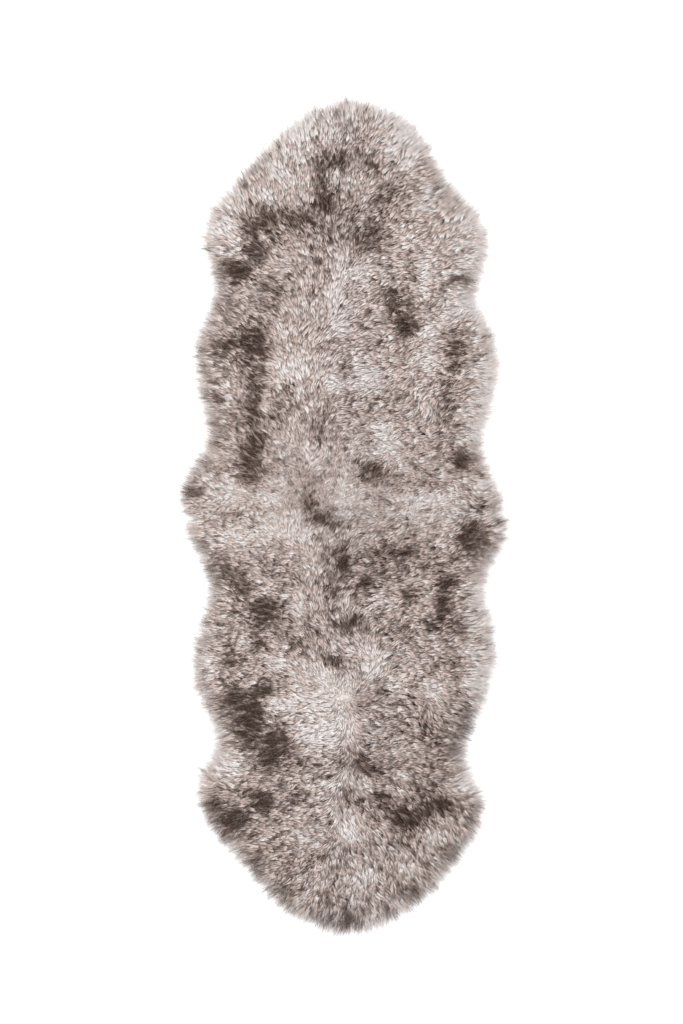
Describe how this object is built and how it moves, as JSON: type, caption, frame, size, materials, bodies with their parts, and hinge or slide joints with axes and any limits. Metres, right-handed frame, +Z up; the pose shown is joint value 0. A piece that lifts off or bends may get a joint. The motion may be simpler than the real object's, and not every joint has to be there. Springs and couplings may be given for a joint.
{
  "type": "sheepskin rug",
  "caption": "Long double sheepskin rug with deep grey-brown wool, lying flat, made of pelts sewn end to end on their skin side.",
  "frame": {"origin": "middle of the rug's length and width, on the surface it lies on; the seam between the pelts runs through it", "axes": "+Y towards the head end, along the rug's length; +X to its right with the wool up; +Z up, out of the wool"},
  "size_m": [0.727, 1.8335, 0.0583],
  "materials": {
    "hide": "tanned suede, matt",
    "fleece": "long natural wool, pale roots and dark tips"
  },
  "bodies": {
    "root": {"hide_head_end": "hide", "hide_foot_end": "hide", "fleece_head_end": "fleece", "fleece_foot_end": "fleece"}
  },
  "joints": []
}
